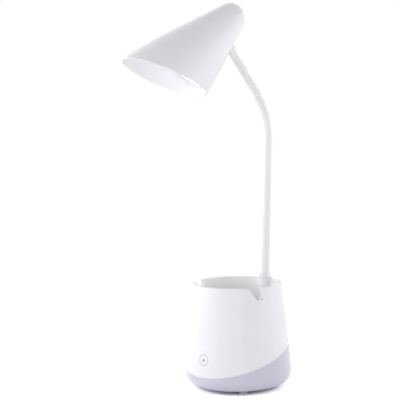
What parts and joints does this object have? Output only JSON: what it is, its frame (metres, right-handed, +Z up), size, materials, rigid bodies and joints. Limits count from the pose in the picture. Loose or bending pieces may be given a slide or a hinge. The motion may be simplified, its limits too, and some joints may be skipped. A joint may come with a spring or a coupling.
{
  "type": "desk lamp with pen cup base",
  "caption": "Rechargeable desk lamp: pen cup base with a slanting two-tone skirt, a phone slot in its rim, a bendable neck and an obliquely cut bell shade.",
  "frame": {"origin": "centre of the base's flat underside, on the base's axis; the feet reach 3.8 mm below it", "axes": "+Z up, -Y the front with the touch key, +Y the back where the neck rises, +X to the right of someone at the front"},
  "size_m": [0.1219, 0.159, 0.3808],
  "materials": {
    "white_plastic": "smooth satin",
    "skirt_plastic": "smooth satin",
    "foot_rubber": "matt",
    "neck_silicone": "silky matt",
    "spring_steel": "wound strip",
    "fastener_steel": "nickel plated",
    "weight_steel": "zinc plated sheet",
    "cell_wrap": "shrink film",
    "cradle_plastic": "as moulded",
    "circuit_board": "solder mask",
    "key_print": "translucent inlay",
    "lens_clear": "clear",
    "touch_foam": "conductive foam",
    "lead_cover": "smooth",
    "module_aluminium": "bare sheet",
    "led_phosphor": "phosphor",
    "reflector_white": "white reflector",
    "diffuser_opal": "opal, lit from behind"
  },
  "bodies": {
    "base": {"outer_shell": "white_plastic", "base_skirt": "skirt_plastic", "cup_liner": "white_plastic", "bottom_cover": "skirt_plastic", "foot_pads": "foot_rubber", "cover_screws": "fastener_steel", "weight_plate": "weight_steel", "battery_cell": "cell_wrap", "battery_tabs": "fastener_steel", "battery_cradle": "cradle_plastic", "control_board": "circuit_board", "board_screws": "fastener_steel", "usb_socket": "fastener_steel", "touch_key": "key_print", "indicator_lens": "lens_clear", "touch_board": "circuit_board", "touch_pad": "touch_foam", "neck_socket": "white_plastic", "neck_stud": "fastener_steel", "neck_nut": "fastener_steel", "base_lead": "lead_cover", "neck_sleeve_root": "neck_silicone", "neck_core_root": "spring_steel"},
    "neck_1": {"neck_sleeve_1": "neck_silicone", "neck_core_1": "spring_steel"},
    "neck_2": {"neck_sleeve_2": "neck_silicone", "neck_core_2": "spring_steel"},
    "neck_3": {"neck_sleeve_3": "neck_silicone", "neck_core_3": "spring_steel"},
    "neck_4": {"neck_sleeve_4": "neck_silicone", "neck_core_4": "spring_steel"},
    "neck_5": {"neck_sleeve_5": "neck_silicone", "neck_core_5": "spring_steel"},
    "neck_6": {"neck_sleeve_6": "neck_silicone", "neck_core_6": "spring_steel"},
    "neck_7": {"neck_sleeve_7": "neck_silicone", "neck_core_7": "spring_steel"},
    "shade": {"neck_sleeve_tip": "neck_silicone", "neck_core_tip": "spring_steel", "shade_shell": "white_plastic", "shade_stud": "fastener_steel", "shade_nut": "fastener_steel", "heat_spreader": "module_aluminium", "led_board": "module_aluminium", "led_chips": "led_phosphor", "module_screws": "fastener_steel", "reflector": "reflector_white", "diffuser": "diffuser_opal", "diffuser_ring": "white_plastic", "shade_lead": "lead_cover"}
  },
  "joints": [
    {"name": "lower_bend", "type": "hinge", "parent": "base", "child": "neck_1", "pos_m": [0.00027, 0.04181, 0.12398], "axis": [0.9659, -0.2588, 0], "range_deg": [-15, 20]},
    {"name": "lower_side", "type": "hinge", "parent": "neck_1", "child": "neck_2", "pos_m": [0.00059, 0.04301, 0.1525], "axis": [-0.2586, -0.965, 0.0436], "range_deg": [-20, 20]},
    {"name": "lower_bend_2", "type": "hinge", "parent": "neck_2", "child": "neck_3", "pos_m": [0.00092, 0.04422, 0.18102], "axis": [0.9659, -0.2588, 0], "range_deg": [-15, 20]},
    {"name": "lower_side_2", "type": "hinge", "parent": "neck_3", "child": "neck_4", "pos_m": [0.00124, 0.04542, 0.20955], "axis": [-0.2586, -0.965, 0.0436], "range_deg": [-20, 20]},
    {"name": "upper_bend", "type": "hinge", "parent": "neck_4", "child": "neck_5", "pos_m": [0.00156, 0.04662, 0.23807], "axis": [0.9659, -0.2588, 0], "range_deg": [-20, 20]},
    {"name": "upper_side", "type": "hinge", "parent": "neck_5", "child": "neck_6", "pos_m": [0.00071, 0.04344, 0.26626], "axis": [-0.249, -0.9292, -0.2731], "range_deg": [-20, 20]},
    {"name": "upper_bend_2", "type": "hinge", "parent": "neck_6", "child": "neck_7", "pos_m": [-0.0024, 0.03184, 0.29198], "axis": [0.9659, -0.2588, 0], "range_deg": [-20, 20]},
    {"name": "upper_side_2", "type": "hinge", "parent": "neck_7", "child": "shade", "pos_m": [-0.00618, 0.01772, 0.31348], "axis": [-0.2141, -0.7989, -0.5621], "range_deg": [-20, 20]}
  ],
  "couplings": [
    {"joint": "lower_bend_2", "follows": "lower_bend", "ratio": 1},
    {"joint": "lower_side_2", "follows": "lower_side", "ratio": 1},
    {"joint": "upper_bend_2", "follows": "upper_bend", "ratio": 1},
    {"joint": "upper_side_2", "follows": "upper_side", "ratio": 1}
  ]
}
